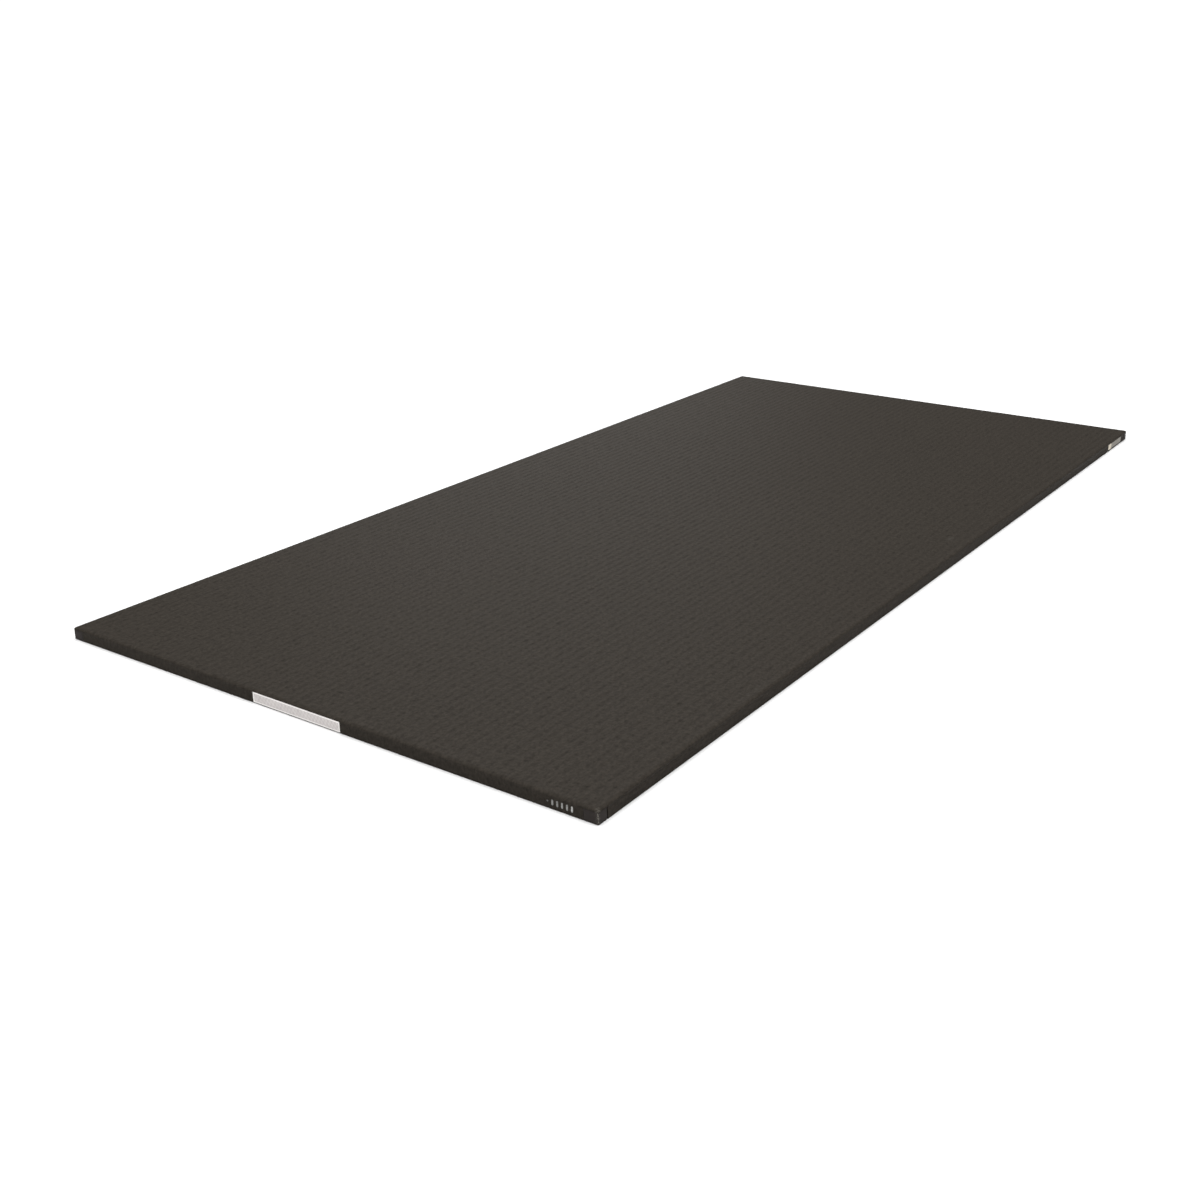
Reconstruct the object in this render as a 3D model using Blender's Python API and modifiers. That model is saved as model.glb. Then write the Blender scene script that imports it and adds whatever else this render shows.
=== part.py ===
"""Single-panel tatami sports mat: an embossed vinyl cover wrapped round a rebonded foam slab.

The mat lies flat. +X runs along its length, +Y across its width and +Z up. The origin is the
middle of its underside. Every length is in metres.
"""

import bmesh
import bpy

# Overall size
MAT_LENGTH = 2.000
MAT_WIDTH = 1.000
MAT_THICKNESS = 0.020

# Clearances
TOUCH_GAP = 0.0003  # between two pieces that rest on each other
BASE_GAP = 0.0010  # between the waffle field and the hem around it

# Cover: one vinyl sheet over the top and down the sides, turned under as a hem
COVER_THICKNESS = 0.0012
HEM_WIDTH = 0.030
CORNER_RADIUS = 0.0035  # upright corners, seen from above
TOP_EDGE_RADIUS = 0.0030
BOTTOM_EDGE_RADIUS = 0.0010

# Reinforcing cloth under the vinyl, over the top and sides of the core
CLOTH_THICKNESS = 0.0005

# Non-slip base: a sheet clamped between core and hem, with a thicker waffle field that meets the floor
BASE_SHEET_THICKNESS = 0.0010

# Corner patches: L-shaped vinyl pieces that close the cut corners of the sheet
PATCH_LEG_ALONG_LENGTH = 0.017
PATCH_LEG_ALONG_WIDTH = 0.022
PATCH_BELOW_EDGE = 0.0010  # from the patch's top to the start of the rounded top edge

# Labels, let in flush with the sides
LABEL_THICKNESS = 0.0003
LABEL_EDGE_MARGIN = 0.0003  # from the foil label to the rounded edges above and below it
FOIL_LABEL_WIDTH = 0.169
FOIL_LABEL_OFFSET = 0.0105  # from the middle of the end face, towards +Y
SIDE_LABEL_HEIGHT = 0.0112
SIDE_LABEL_WHITE_LENGTH = 0.019
SIDE_LABEL_GREY_LENGTH = 0.064
SIDE_LABEL_FROM_END = 0.040  # from the grey part to the end of the mat

# Fineness of the rounded edges
CORNER_SEGMENTS = 6
EDGE_SEGMENTS = 4
SMALLEST_RADIUS = 0.0003
CUT_OVERRUN = 0.005  # how far a cutting block stands past the faces it cuts

HALF_LENGTH = MAT_LENGTH / 2
HALF_WIDTH = MAT_WIDTH / 2

# How far each layer's outer face lies inside the mat's outer faces
CLOTH_INSET = COVER_THICKNESS + TOUCH_GAP
CORE_INSET = CLOTH_INSET + CLOTH_THICKNESS + TOUCH_GAP

# Heights of the layers
BASE_SHEET_BOTTOM = COVER_THICKNESS + TOUCH_GAP
BASE_SHEET_TOP = BASE_SHEET_BOTTOM + BASE_SHEET_THICKNESS
CORE_BOTTOM = BASE_SHEET_TOP + TOUCH_GAP
CORE_TOP = MAT_THICKNESS - CORE_INSET
FLAT_SIDE_BOTTOM = BOTTOM_EDGE_RADIUS
FLAT_SIDE_TOP = MAT_THICKNESS - TOP_EDGE_RADIUS
PATCH_TOP = FLAT_SIDE_TOP - PATCH_BELOW_EDGE


def clear_scene():
    for obj in list(bpy.data.objects):
        bpy.data.objects.remove(obj, do_unlink=True)


def make_collection(name, is_for_cutters=False):
    collection = bpy.data.collections.new(name)
    collection.hide_render = is_for_cutters
    bpy.context.scene.collection.children.link(collection)
    return collection


def make_material(name, color, roughness, metallic=0.0):
    material = bpy.data.materials.new(name)
    material.use_nodes = True
    shader = material.node_tree.nodes["Principled BSDF"]
    shader.inputs["Base Color"].default_value = (*color, 1.0)
    shader.inputs["Roughness"].default_value = roughness
    shader.inputs["Metallic"].default_value = metallic
    return material


def make_mesh(name, shape):
    mesh = bpy.data.meshes.new(name)
    shape.to_mesh(mesh)
    shape.free()
    mesh.shade_smooth()
    mesh.set_sharp_from_angle(angle=0.6)
    return mesh


def add_part(name, shape, material, location=(0, 0, 0)):
    part = bpy.data.objects.new(name, make_mesh(name, shape))
    part.location = location
    part.parent = mat_origin
    part.data.materials.append(material)
    mat_parts.objects.link(part)
    return part


def add_cutter(name, shape, location=(0, 0, 0)):
    cutter = bpy.data.objects.new(name, make_mesh(name, shape))
    cutter.location = location
    cutter.parent = mat_origin
    cutter.hide_render = True
    cutter.display_type = "WIRE"
    mat_cutters.objects.link(cutter)
    return cutter


def combine(part, cutter, operation):
    boolean = part.modifiers.new(f"{operation.lower()} {cutter.name}", "BOOLEAN")
    boolean.operation = operation
    boolean.solver = "EXACT"
    boolean.object = cutter


def thicken_inwards(part, thickness):
    solidify = part.modifiers.new("thickness", "SOLIDIFY")
    solidify.thickness = thickness
    solidify.offset = -1.0
    solidify.use_even_offset = True


def block(size_x, size_y, size_z):
    """A box about its own middle."""
    shape = bmesh.new()
    bmesh.ops.create_cube(shape, size=1.0)
    bmesh.ops.scale(shape, vec=(size_x, size_y, size_z), verts=shape.verts)
    return shape


def edges_at_height(shape, height):
    return [
        edge
        for edge in shape.edges
        if all(abs(vert.co.z - height) < 1e-6 for vert in edge.verts)
    ]


def round_edges(shape, edges, radius, segments):
    bmesh.ops.bevel(
        shape,
        geom=edges,
        offset=radius,
        offset_type="OFFSET",
        segments=segments,
        profile=0.5,
        affect="EDGES",
        clamp_overlap=False,
    )


def set_in(radius, inset):
    """The radius of a rounded edge that lies inside another by an even distance."""
    return max(radius - inset, SMALLEST_RADIUS)


def slab(inset, bottom, top, round_top=True, round_bottom=False):
    """A slab set in from the mat's sides, with its corners and edges rounded to match."""
    size_x = MAT_LENGTH - 2 * inset
    size_y = MAT_WIDTH - 2 * inset
    shape = block(size_x, size_y, top - bottom)
    bmesh.ops.translate(shape, vec=(0, 0, (top + bottom) / 2), verts=shape.verts)
    upright = [edge for edge in shape.edges if abs(edge.verts[0].co.z - edge.verts[1].co.z) > 1e-6]
    round_edges(shape, upright, set_in(CORNER_RADIUS, inset), CORNER_SEGMENTS)
    if round_top:
        top_radius = set_in(TOP_EDGE_RADIUS, inset)
        round_edges(shape, edges_at_height(shape, top), top_radius, EDGE_SEGMENTS)
    if round_bottom:
        bottom_radius = set_in(BOTTOM_EDGE_RADIUS, inset)
        round_edges(shape, edges_at_height(shape, bottom), bottom_radius, EDGE_SEGMENTS)
    return shape


def face_at_height(shape, height):
    return next(
        face for face in shape.faces if all(abs(vert.co.z - height) < 1e-6 for vert in face.verts)
    )


def add_wrap(name, material):
    """The whole vinyl wrap: a thin skin round the mat, open underneath inside the hem."""
    wrap = add_part(name, slab(0, 0, MAT_THICKNESS, round_bottom=True), material)
    combine(wrap, wrap_hollow, "DIFFERENCE")
    combine(wrap, hem_opening, "DIFFERENCE")
    return wrap


def corner_block(name, side_x, side_y, grow):
    """The space of a corner patch, grown by a gap for the cut that it fits in."""
    size_x = PATCH_LEG_ALONG_LENGTH + grow + CUT_OVERRUN
    size_y = PATCH_LEG_ALONG_WIDTH + grow + CUT_OVERRUN
    size_z = PATCH_TOP + grow + CUT_OVERRUN
    middle = (
        side_x * (HALF_LENGTH + CUT_OVERRUN - size_x / 2),
        side_y * (HALF_WIDTH + CUT_OVERRUN - size_y / 2),
        PATCH_TOP + grow - size_z / 2,
    )
    return add_cutter(name, block(size_x, size_y, size_z), middle)


def add_end_label(name, width, middle_y, bottom, top, material):
    """A label let into the end of the mat that faces -X."""
    height = top - bottom
    middle = (-HALF_LENGTH + LABEL_THICKNESS / 2, middle_y, (bottom + top) / 2)
    add_part(name, block(LABEL_THICKNESS, width, height), material, middle)
    depth = LABEL_THICKNESS + TOUCH_GAP
    pocket = block(2 * depth, width + 2 * TOUCH_GAP, height + 2 * TOUCH_GAP)
    combine(cover, add_cutter(f"{name}_pocket", pocket, (-HALF_LENGTH, *middle[1:])), "DIFFERENCE")


def add_side_label(name, length, middle_x, bottom, top, material):
    """A label let into the long side of the mat that faces -Y."""
    height = top - bottom
    middle = (middle_x, -HALF_WIDTH + LABEL_THICKNESS / 2, (bottom + top) / 2)
    add_part(name, block(length, LABEL_THICKNESS, height), material, middle)
    depth = LABEL_THICKNESS + TOUCH_GAP
    pocket = block(length + 2 * TOUCH_GAP, 2 * depth, height + 2 * TOUCH_GAP)
    place = (middle_x, -HALF_WIDTH, middle[2])
    combine(cover, add_cutter(f"{name}_pocket", pocket, place), "DIFFERENCE")


clear_scene()
mat_parts = make_collection("tatami_mat")
mat_cutters = make_collection("cutters", is_for_cutters=True)
mat_origin = bpy.data.objects.new("mat_origin", None)
mat_parts.objects.link(mat_origin)

vinyl = make_material("charcoal_vinyl", (0.055, 0.049, 0.043), 0.48)
patch_vinyl = make_material("patch_vinyl", (0.046, 0.041, 0.037), 0.45)
foam = make_material("rebonded_foam", (0.20, 0.22, 0.26), 0.95)
cloth = make_material("polyester_cloth", (0.55, 0.55, 0.53), 0.85)
latex = make_material("latex_waffle", (0.020, 0.020, 0.021), 0.70)
silver_foil = make_material("silver_foil", (0.62, 0.60, 0.60), 0.38, 0.35)
white_film = make_material("white_film", (0.78, 0.77, 0.74), 0.45)
grey_foil = make_material("grey_foil", (0.22, 0.21, 0.20), 0.40, 0.35)

# The foam slab and the cloth drawn over it
add_part("foam_core", slab(CORE_INSET, CORE_BOTTOM, CORE_TOP), foam)

cloth_shape = slab(CLOTH_INSET, BASE_SHEET_BOTTOM, MAT_THICKNESS - CLOTH_INSET)
cloth_underside = face_at_height(cloth_shape, BASE_SHEET_BOTTOM)
bmesh.ops.delete(cloth_shape, geom=[cloth_underside], context="FACES_ONLY")
reinforcing_cloth = add_part("reinforcing_cloth", cloth_shape, cloth)
thicken_inwards(reinforcing_cloth, CLOTH_THICKNESS)

# The non-slip base: its sheet lies on the hem, its waffle field fills the hem's opening
base_sheet = slab(CORE_INSET, BASE_SHEET_BOTTOM, BASE_SHEET_TOP, round_top=False)
antislip_base = add_part("antislip_base", base_sheet, latex)
field_inset = HEM_WIDTH + BASE_GAP
field_height = (BASE_SHEET_BOTTOM + BASE_SHEET_TOP) / 2  # it runs up into the sheet
field_size = (MAT_LENGTH - 2 * field_inset, MAT_WIDTH - 2 * field_inset, field_height)
waffle_field = add_cutter("waffle_field", block(*field_size), (0, 0, field_height / 2))
combine(antislip_base, waffle_field, "UNION")

# The cover, cut at its four corners, and the patch that closes each cut
hollow_top = MAT_THICKNESS - COVER_THICKNESS
hollow_shape = slab(COVER_THICKNESS, COVER_THICKNESS, hollow_top, round_bottom=True)
wrap_hollow = add_cutter("wrap_hollow", hollow_shape)
opening_size = (MAT_LENGTH - 2 * HEM_WIDTH, MAT_WIDTH - 2 * HEM_WIDTH, 2 * BASE_SHEET_BOTTOM)
hem_opening = add_cutter("hem_opening", block(*opening_size))
cover = add_wrap("tatami_cover", vinyl)
for end_name, side_x in (("front", -1), ("back", 1)):
    for hand_name, side_y in (("right", -1), ("left", 1)):
        patch_name = f"corner_patch_{end_name}_{hand_name}"
        patch = add_wrap(patch_name, patch_vinyl)
        combine(patch, corner_block(f"{patch_name}_space", side_x, side_y, 0), "INTERSECT")
        combine(cover, corner_block(f"{patch_name}_cut", side_x, side_y, TOUCH_GAP), "DIFFERENCE")

# Labels
add_end_label(
    "foil_label",
    FOIL_LABEL_WIDTH,
    FOIL_LABEL_OFFSET,
    FLAT_SIDE_BOTTOM + LABEL_EDGE_MARGIN,
    FLAT_SIDE_TOP - LABEL_EDGE_MARGIN,
    silver_foil,
)
side_label_middle = (FLAT_SIDE_BOTTOM + FLAT_SIDE_TOP) / 2
side_label_bottom = side_label_middle - SIDE_LABEL_HEIGHT / 2
side_label_top = side_label_middle + SIDE_LABEL_HEIGHT / 2
grey_middle = HALF_LENGTH - SIDE_LABEL_FROM_END - SIDE_LABEL_GREY_LENGTH / 2
white_middle = grey_middle - (SIDE_LABEL_GREY_LENGTH + SIDE_LABEL_WHITE_LENGTH) / 2 - TOUCH_GAP
for name, length, middle_x, material in (
    ("side_label_grey", SIDE_LABEL_GREY_LENGTH, grey_middle, grey_foil),
    ("side_label_white", SIDE_LABEL_WHITE_LENGTH, white_middle, white_film),
):
    add_side_label(name, length, middle_x, side_label_bottom, side_label_top, material)
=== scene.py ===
import math

import bpy
from mathutils import Matrix, Vector, noise


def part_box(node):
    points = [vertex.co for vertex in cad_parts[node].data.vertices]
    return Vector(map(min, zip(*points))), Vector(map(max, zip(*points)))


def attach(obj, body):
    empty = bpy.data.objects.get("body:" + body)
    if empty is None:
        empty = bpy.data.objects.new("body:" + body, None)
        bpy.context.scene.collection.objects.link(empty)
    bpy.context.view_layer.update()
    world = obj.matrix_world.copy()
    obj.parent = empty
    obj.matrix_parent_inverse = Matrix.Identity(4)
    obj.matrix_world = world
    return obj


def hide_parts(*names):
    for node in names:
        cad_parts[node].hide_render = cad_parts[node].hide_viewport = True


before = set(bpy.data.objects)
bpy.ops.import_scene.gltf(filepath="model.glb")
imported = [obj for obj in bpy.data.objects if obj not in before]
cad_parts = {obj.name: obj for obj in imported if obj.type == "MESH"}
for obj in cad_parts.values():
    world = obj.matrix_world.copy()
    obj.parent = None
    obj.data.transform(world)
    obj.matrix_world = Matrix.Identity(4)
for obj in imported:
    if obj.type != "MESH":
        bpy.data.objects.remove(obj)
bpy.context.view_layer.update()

scene = bpy.context.scene
scene.view_settings.view_transform = "Standard"
mm = 0.001
print("frame loaded with", len(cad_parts), "pieces")

# driving sizes, from the frame
coverLow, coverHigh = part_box("tatami_cover")
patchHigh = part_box("corner_patch_front_right")[1]
halfLength = coverHigh.x
halfWidth = coverHigh.y
matTop = coverHigh.z
patchAlongLength = patchHigh.x - coverLow.x
patchAlongWidth = patchHigh.y - coverLow.y
patchTop = patchHigh.z


# Camera

cameraView = {
    "place": (-2.2064, -1.4021, 0.8916),
    "azimuth": -55.34,  # degrees; 0 looks along +Y
    "elevation": 18.96,
    "roll": -0.519,
    "lens": 43.79,
    "shift": (-0.0363, -0.0635),
}


def makeCamera(view):
    data = bpy.data.cameras.new("standingView")
    data.lens = view["lens"]
    data.sensor_width = 36
    data.shift_x, data.shift_y = view["shift"]
    data.clip_end = 200
    camera = bpy.data.objects.new("standingView", data)
    scene.collection.objects.link(camera)
    azimuth = math.radians(view["azimuth"])
    elevation = math.radians(view["elevation"])
    flat = math.cos(elevation)
    back = Vector((math.sin(azimuth) * flat, -math.cos(azimuth) * flat, math.sin(elevation)))
    right = Vector((0, 0, 1)).cross(back).normalized()
    up = back.cross(right)
    turn = Matrix((right, up, back)).transposed() @ Matrix.Rotation(math.radians(view["roll"]), 3, "Z")
    camera.matrix_world = Matrix.Translation(view["place"]) @ turn.to_4x4()
    scene.camera = camera


makeCamera(cameraView)
print("camera placed")


# Node helpers, for finishes and for geometry trees alike

def addNode(tree, kind, inputs=None, **settings):
    node = tree.nodes.new(kind)
    for setting, value in settings.items():
        setattr(node, setting, value)
    for socket, value in (inputs or {}).items():
        if isinstance(value, bpy.types.NodeSocket):
            tree.links.new(value, node.inputs[socket])
        else:
            node.inputs[socket].default_value = value
    return node


def calculate(tree, operation, *values, limited=False):
    node = addNode(tree, "ShaderNodeMath", dict(enumerate(values)), operation=operation, use_clamp=limited)
    return node.outputs[0]


def vectorMath(tree, operation, *values):
    return addNode(tree, "ShaderNodeVectorMath", dict(enumerate(values)), operation=operation)


def remap(tree, value, lowest, highest, newLowest, newHighest):
    inputs = {0: value, 1: lowest, 2: highest, 3: newLowest, 4: newHighest}
    return addNode(tree, "ShaderNodeMapRange", inputs).outputs[0]


def cloud(tree, place, scale, detail=2.0, roughness=0.5, stretch=None):
    if stretch:
        place = vectorMath(tree, "MULTIPLY", place, stretch).outputs[0]
    inputs = {"Vector": place, "Scale": scale, "Detail": detail, "Roughness": roughness}
    return addNode(tree, "ShaderNodeTexNoise", inputs).outputs["Fac"]


def mixColors(tree, share, first, second):
    node = addNode(tree, "ShaderNodeMix", {0: share, 6: first, 7: second}, data_type="RGBA")
    return node.outputs[2]


def shadeColor(tree, color, factor):
    # multiplies a colour by a grey factor
    node = addNode(tree, "ShaderNodeVectorMath", {0: color}, operation="SCALE")
    tree.links.new(factor, node.inputs["Scale"])
    return node.outputs[0]


def newFinish(name, color, roughness, specular=0.5, metallic=0.0):
    finish = bpy.data.materials.new(name)
    finish.use_nodes = True
    finish.diffuse_color = (*color, 1)
    tree = finish.node_tree
    shader = tree.nodes["Principled BSDF"]
    shader.inputs["Base Color"].default_value = (*color, 1)
    shader.inputs["Roughness"].default_value = roughness
    shader.inputs["Specular IOR Level"].default_value = specular
    shader.inputs["Metallic"].default_value = metallic
    return finish, tree, shader


def objectPlace(tree):
    return addNode(tree, "ShaderNodeTexCoord").outputs["Object"]


def attributeOf(tree, name, output="Fac"):
    return addNode(tree, "ShaderNodeAttribute", attribute_name=name).outputs[output]


def bumpInto(tree, shader, height, distance, strength=1.0):
    inputs = {"Height": height, "Distance": distance, "Strength": strength}
    if shader.inputs["Normal"].is_linked:
        inputs["Normal"] = shader.inputs["Normal"].links[0].from_socket
    bump = addNode(tree, "ShaderNodeBump", inputs)
    tree.links.new(bump.outputs[0], shader.inputs["Normal"])


def newGeometryTree(name, sizes):
    # sizes: input name -> (socket type, value)
    tree = bpy.data.node_groups.new(name, "GeometryNodeTree")
    tree.interface.new_socket("Geometry", in_out="INPUT", socket_type="NodeSocketGeometry")
    tree.interface.new_socket("Geometry", in_out="OUTPUT", socket_type="NodeSocketGeometry")
    for label, (kind, value) in sizes.items():
        tree.interface.new_socket(label, in_out="INPUT", socket_type=kind).default_value = value
    return tree, addNode(tree, "NodeGroupInput").outputs, addNode(tree, "NodeGroupOutput")


def finishGeometryTree(tree, geometry, finish, groupEnd):
    realized = addNode(tree, "GeometryNodeRealizeInstances", {"Geometry": geometry})
    coated = addNode(tree, "GeometryNodeSetMaterial", {"Geometry": realized.outputs[0], "Material": finish})
    tree.links.new(coated.outputs[0], groupEnd.inputs[0])


def keepModifiers(piece):
    # turns what the modifiers of a piece make into its plain mesh
    piece.update_tag()
    bpy.context.view_layer.update()
    evaluated = piece.evaluated_get(bpy.context.evaluated_depsgraph_get())
    made = bpy.data.meshes.new_from_object(evaluated)
    piece.modifiers.clear()
    old = piece.data
    piece.data = made
    bpy.data.meshes.remove(old)


def runGeometryTree(piece, tree, sizes):
    # runs the tree with its sizes and keeps the result as a plain mesh
    modifier = piece.modifiers.new(tree.name, "NODES")
    modifier.node_group = tree
    for item in tree.interface.items_tree:
        if item.in_out == "INPUT" and item.name in sizes:
            modifier[item.identifier] = sizes[item.name][1]
    keepModifiers(piece)


def newPiece(name, points, faces, finish=None):
    mesh = bpy.data.meshes.new(name)
    mesh.from_pydata(points, [], faces)
    mesh.update()
    piece = bpy.data.objects.new(name, mesh)
    scene.collection.objects.link(piece)
    if finish:
        mesh.materials.append(finish)
    return piece


def smoothPiece(piece, angle=40):
    piece.data.shade_smooth()
    piece.data.set_sharp_from_angle(angle=math.radians(angle))


def keepValue(piece, name, kind, values):
    # keeps a number or a vector for every point of the mesh
    attribute = piece.data.attributes.new(name, kind, "POINT")
    if kind == "FLOAT":
        attribute.data.foreach_set("value", values)
    else:
        attribute.data.foreach_set("vector", [c for v in values for c in v])


# Vinyl of the cover

vinylLook = {
    "paleTone": (0.0347, 0.0298, 0.0246),
    "deepTone": (0.0296, 0.0254, 0.0211),
    "scuffTone": (0.085, 0.080, 0.073),
    "wornTone": (0.26, 0.245, 0.215),
    "roughness": 0.50,
    "specular": 0.015,
    "paintedGrooveShade": 0.17,  # painted shade: how much darker the bottom of a groove is painted
    "dashLength": 7 * mm,  # dark dashes along a groove
    "knotShade": 0.34,  # lighter and darker beads of straw
    "strandPitch": 2.1 * mm,
    "strandHeight": 0.07 * mm,
    "knotHeight": 0.25 * mm,
    "grainHeight": 0.02 * mm,
    # light scuffs close to the long side that is walked over most: middle, reach along and across
    "scuffs": (((-0.315, -0.462), (0.022, 0.012)), ((0.110, -0.460), (0.018, 0.010)),
               ((-0.62, -0.486), (0.060, 0.006)), ((0.42, -0.488), (0.075, 0.005))),
    "scuffShare": 0.30,
}

embossSizes = {
    "Row Pitch": ("NodeSocketFloat", 14.66 * mm),
    "Sway": ("NodeSocketFloat", 0.55),  # how far a groove strays, in rows
    "Sway Length": ("NodeSocketFloat", 22 * mm),
    "Groove Depth": ("NodeSocketFloat", 0.21 * mm),
    "Groove Sharpness": ("NodeSocketFloat", 1.5),
    "Dash Length": ("NodeSocketFloat", 20 * mm),
    "Shallowest Dash": ("NodeSocketFloat", 0.30),
    "Crest Unevenness": ("NodeSocketFloat", 0.09 * mm),
    "Seed": ("NodeSocketFloat", 4.0),
}

rowPitch = embossSizes["Row Pitch"][1]


def wornSpecks(tree, place, wear):
    # worn in specks where the wear is
    specks = remap(tree, cloud(tree, place, 560, 3.0, 0.75), 0.47, 0.62, 0.0, 0.72)
    return calculate(tree, "MULTIPLY", wear, specks)


def makeCoverVinyl(look):
    finish, tree, shader = newFinish("coverVinyl", look["paleTone"], look["roughness"], look["specular"])
    place = objectPlace(tree)
    onSheet = attributeOf(tree, "sheetPlace", "Vector")
    groove = attributeOf(tree, "paintedGrooveShade")
    apart = addNode(tree, "ShaderNodeSeparateXYZ", {0: onSheet}).outputs
    # slow change of tone over the mat, then blotches and streaks across the rows
    slow = cloud(tree, place, 1.7, 2.0)
    blotches = cloud(tree, place, 55, 3.0, 0.65)
    streaks = cloud(tree, onSheet, 1.0, 2.0, 0.6, stretch=(420, 60, 1))
    tone = calculate(tree, "MULTIPLY_ADD", slow, 0.20, calculate(tree, "MULTIPLY", blotches, 0.5))
    tone = calculate(tree, "MULTIPLY_ADD", streaks, 0.30, tone)
    tone = remap(tree, tone, 0.36, 0.64, 0.0, 1.0)
    color = mixColors(tree, tone, (*look["deepTone"], 1), (*look["paleTone"], 1))
    # painted shade in the grooves, broken into short dashes, and the straw has lighter and darker beads
    row = calculate(tree, "ROUND", calculate(tree, "DIVIDE", apart[1], rowPitch))
    alongRow = calculate(tree, "DIVIDE", apart[0], look["dashLength"])
    ownRow = calculate(tree, "MULTIPLY", row, 7.7)
    dashPlace = addNode(tree, "ShaderNodeCombineXYZ", {0: alongRow, 1: ownRow}).outputs[0]
    dashes = remap(tree, cloud(tree, dashPlace, 1.0, 2.0, 0.6), 0.38, 0.62, 0.0, 1.6)
    knots = cloud(tree, onSheet, 1.0, 3.0, 0.7, stretch=(170, 240, 1))
    shade = calculate(tree, "MULTIPLY", calculate(tree, "MULTIPLY", groove, dashes), -look["paintedGrooveShade"])
    beads = remap(tree, knots, 0.28, 0.72, -look["knotShade"], look["knotShade"])
    shade = calculate(tree, "ADD", shade, beads)
    color = shadeColor(tree, color, calculate(tree, "ADD", shade, 1.0))
    # scuffs, broken up into flecks
    scuffs = None
    for spot, reach in look["scuffs"]:
        away = vectorMath(tree, "SUBTRACT", place, (*spot, matTop)).outputs[0]
        away = vectorMath(tree, "DIVIDE", away, (*reach, 1)).outputs[0]
        distance = vectorMath(tree, "LENGTH", away).outputs["Value"]
        near = calculate(tree, "SUBTRACT", 1.0, distance, limited=True)
        scuffs = near if scuffs is None else calculate(tree, "ADD", scuffs, near)
    broken = remap(tree, cloud(tree, place, 160, 4.0, 0.65, stretch=(1.0, 0.45, 1)), 0.48, 0.62, 0.0, 1.0)
    scuffs = calculate(tree, "MULTIPLY", calculate(tree, "MULTIPLY", scuffs, broken), look["scuffShare"])
    color = mixColors(tree, scuffs, color, (*look["scuffTone"], 1))
    worn = wornSpecks(tree, place, attributeOf(tree, "edgeWear"))
    color = mixColors(tree, worn, color, (*look["wornTone"], 1))
    tree.links.new(color, shader.inputs["Base Color"])
    # the rows shine a little more on their crests
    gloss = calculate(tree, "MULTIPLY_ADD", groove, 0.10, look["roughness"] - 0.04)
    gloss = calculate(tree, "MULTIPLY_ADD", blotches, 0.08, gloss)
    tree.links.new(gloss, shader.inputs["Roughness"])
    # straw strands run across each row, and every other row is half a strand on
    wander = calculate(tree, "MULTIPLY", cloud(tree, onSheet, 1.0, 2.0, 0.5, stretch=(90, 140, 1)), 5.0)
    angle = calculate(tree, "MULTIPLY_ADD", apart[0], 2 * math.pi / look["strandPitch"], wander)
    angle = calculate(tree, "MULTIPLY_ADD", row, math.pi, angle)
    strand = calculate(tree, "MULTIPLY_ADD", calculate(tree, "SINE", angle), 0.5, 0.5)
    strand = calculate(tree, "MULTIPLY", strand, calculate(tree, "SUBTRACT", 1.0, groove))
    bumpInto(tree, shader, strand, look["strandHeight"])
    bumpInto(tree, shader, knots, look["knotHeight"])
    bumpInto(tree, shader, cloud(tree, place, 900, 2.0), look["grainHeight"])
    return finish


coverVinyl = makeCoverVinyl(vinylLook)


# Cover: one sheet over the top and down the sides, turned under as a hem

coverSizes = {
    "thickness": 1.2 * mm,
    "rimWidth": 7.0 * mm,  # flat top ends this far in from the sides
    "cornerRadius": 1.8 * mm,
    "topRollIn": 6.0 * mm,  # rounding of the top edge, inwards and downwards
    "topRollDown": 3.5 * mm,
    "bottomRadius": 0.8 * mm,
    "hemWidth": 30 * mm,
    "patchGaps": (2.2 * mm, 0.5 * mm),  # open lines beside a corner patch, on a long side and on an end
    "patchTopGap": 0.4 * mm,
    "stepAlong": 10.4 * mm,
    "rowCuts": (0.0, 0.16, 0.38, 0.62, 0.84),  # mesh lines across one row, from groove to groove
    "closestLines": 1.3 * mm,
    "arcSteps": 6,
    "cornerSteps": 6,
    "sideEmboss": 0.40,  # how much of the emboss is left on the sides
    "longSideEmboss": 0.10,
    "hemEmboss": 0.25,
    "rowFading": 9 * mm,  # the rows fade over this width beside a long side
    "sideHeights": (15.4, 14.0, 12.4, 10.8, 9.2, 7.6, 6.0, 4.2, 2.4),
    # how far a side stands back at each height in mm, from height 17.2 to the floor;
    # long sides change from front end to middle to back end
    "longSideFront": ((17.2, 0.0), (15.8, 0.45), (14.2, 0.85), (12.0, 0.36), (10.2, 0.0), (8.0, 0.05),
                      (6.0, 0.22), (3.8, 0.40), (2.2, 0.55), (0.8, 0.10)),
    "longSideMiddle": ((17.2, 0.80), (15.4, 0.72), (13.0, 0.42), (10.8, 0.10), (8.6, 0.0), (6.6, 0.12),
                       (4.6, 0.28), (3.2, 0.42), (2.2, 0.50), (0.8, 0.10)),
    "longSideBack": ((17.2, 0.10), (15.0, 0.05), (13.0, 0.22), (10.6, 0.60), (9.0, 0.40), (7.0, 0.08),
                     (5.4, 0.10), (3.2, 0.30), (0.8, 0.05)),
    "endSide": ((17.2, 0.0), (14.0, 0.05), (9.0, 0.0), (6.0, 0.06), (3.0, 0.10), (0.8, 0.0)),
    # slow waves along a side: length, depth, start
    "sideWaves": ((0.61, 0.16, 0.4), (0.23, 0.12, 2.1), (0.097, 0.06, 4.4)),
}


def linesAlong(sizes):
    inner = halfLength - sizes["rimWidth"]
    cut = halfLength - patchAlongLength - sizes["patchGaps"][0]
    count = round(2 * cut / sizes["stepAlong"])
    middle = [-cut + 2 * cut * i / count for i in range(count + 1)]
    return [-inner, -(inner + cut) / 2, *middle, (inner + cut) / 2, inner], cut


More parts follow.
